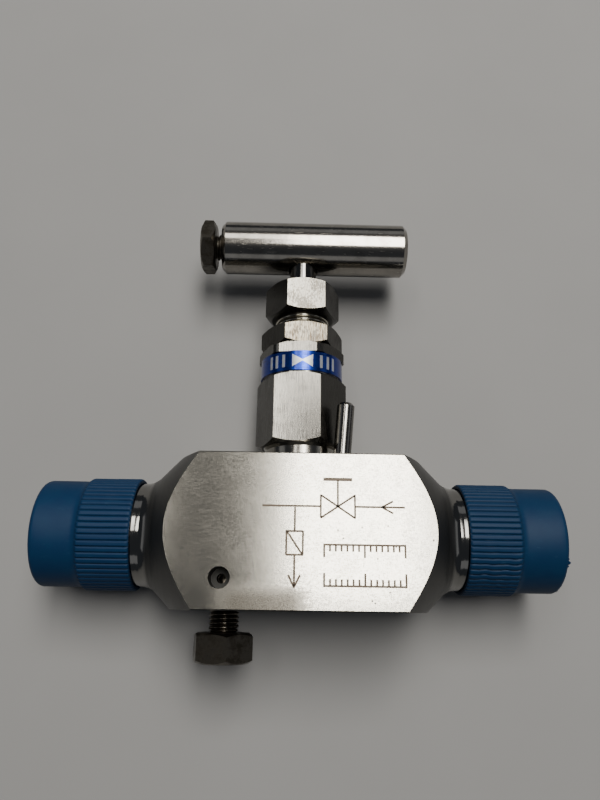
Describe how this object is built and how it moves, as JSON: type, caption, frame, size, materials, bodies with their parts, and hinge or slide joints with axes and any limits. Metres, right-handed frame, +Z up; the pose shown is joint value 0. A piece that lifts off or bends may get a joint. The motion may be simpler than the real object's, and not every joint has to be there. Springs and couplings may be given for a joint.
{
  "type": "block and bleed instrument valve",
  "caption": "Straight block-and-bleed instrument valve: square bar body with male pipe ends, T-handled needle valve, ball-tipped bleed screw and push-on end caps.",
  "frame": {"origin": "middle of the bar's back face, which the valve lies on", "axes": "+X along the flow axis from the outlet to the inlet, +Y along the stem towards the T handle, +Z up out of the bar's front face"},
  "size_m": [0.1362, 0.1276, 0.0381],
  "materials": {
    "bar_steel": "satin milled bar",
    "turned_steel": "turned satin",
    "bright_steel": "polished",
    "dark_steel": "dark, lightly oxidised",
    "seat_alloy": "lapped",
    "packing": "smooth white",
    "bushing": "matte",
    "gasket": "soft metal",
    "wiper_rubber": "matte black",
    "blue_band": "glossy metallic blue",
    "blue_cap": "soft satin blue"
  },
  "bodies": {
    "valve": {"valve_body": "bar_steel", "seat_ring": "seat_alloy", "bonnet": "turned_steel", "bonnet_gasket": "gasket", "bonnet_lock_pin": "bright_steel", "label_band": "blue_band", "packing_washer": "bushing", "packing_ring_1": "packing", "packing_ring_2": "packing", "packing_ring_3": "packing", "packing_bushing": "bushing", "gland_bolt": "turned_steel", "lock_nut": "turned_steel", "stem_wiper": "wiper_rubber"},
    "tip": {"seat_plug": "seat_alloy"},
    "stem": {"valve_stem": "bright_steel", "handle_bar": "bright_steel", "handle_bolt": "dark_steel"},
    "ball": {"bleed_ball": "seat_alloy"},
    "bleed": {"bleed_screw": "dark_steel"},
    "inlet_protector": {"inlet_cap": "blue_cap"},
    "outlet_protector": {"outlet_cap": "blue_cap"}
  },
  "joints": [
    {"name": "plug_lift", "type": "slide", "parent": "valve", "child": "tip", "axis": [0, 1, 0], "range_m": [0, 0.00444]},
    {"name": "isolate_turn", "type": "hinge", "parent": "tip", "child": "stem", "pos_m": [0, 0.0877, 0.01905], "axis": [0, 1, 0], "range_deg": [0, 1260]},
    {"name": "bleed_lift", "type": "slide", "parent": "valve", "child": "ball", "axis": [0, -1, 0], "range_m": [0, 0.00212]},
    {"name": "bleed_turn", "type": "hinge", "parent": "ball", "child": "bleed", "pos_m": [-0.0193, -0.0283, 0.01905], "axis": [0, -1, 0], "range_deg": [0, 720]},
    {"name": "inlet_cap_pull", "type": "slide", "parent": "valve", "child": "inlet_protector", "axis": [1, 0, 0], "range_m": [0, 0.06]},
    {"name": "outlet_cap_pull", "type": "slide", "parent": "valve", "child": "outlet_protector", "axis": [-1, 0, 0], "range_m": [0, 0.06]}
  ],
  "couplings": [
    {"joint": "isolate_turn", "follows": "plug_lift", "rad_per_m": 4947.4},
    {"joint": "bleed_turn", "follows": "bleed_lift", "rad_per_m": 5936.9}
  ]
}
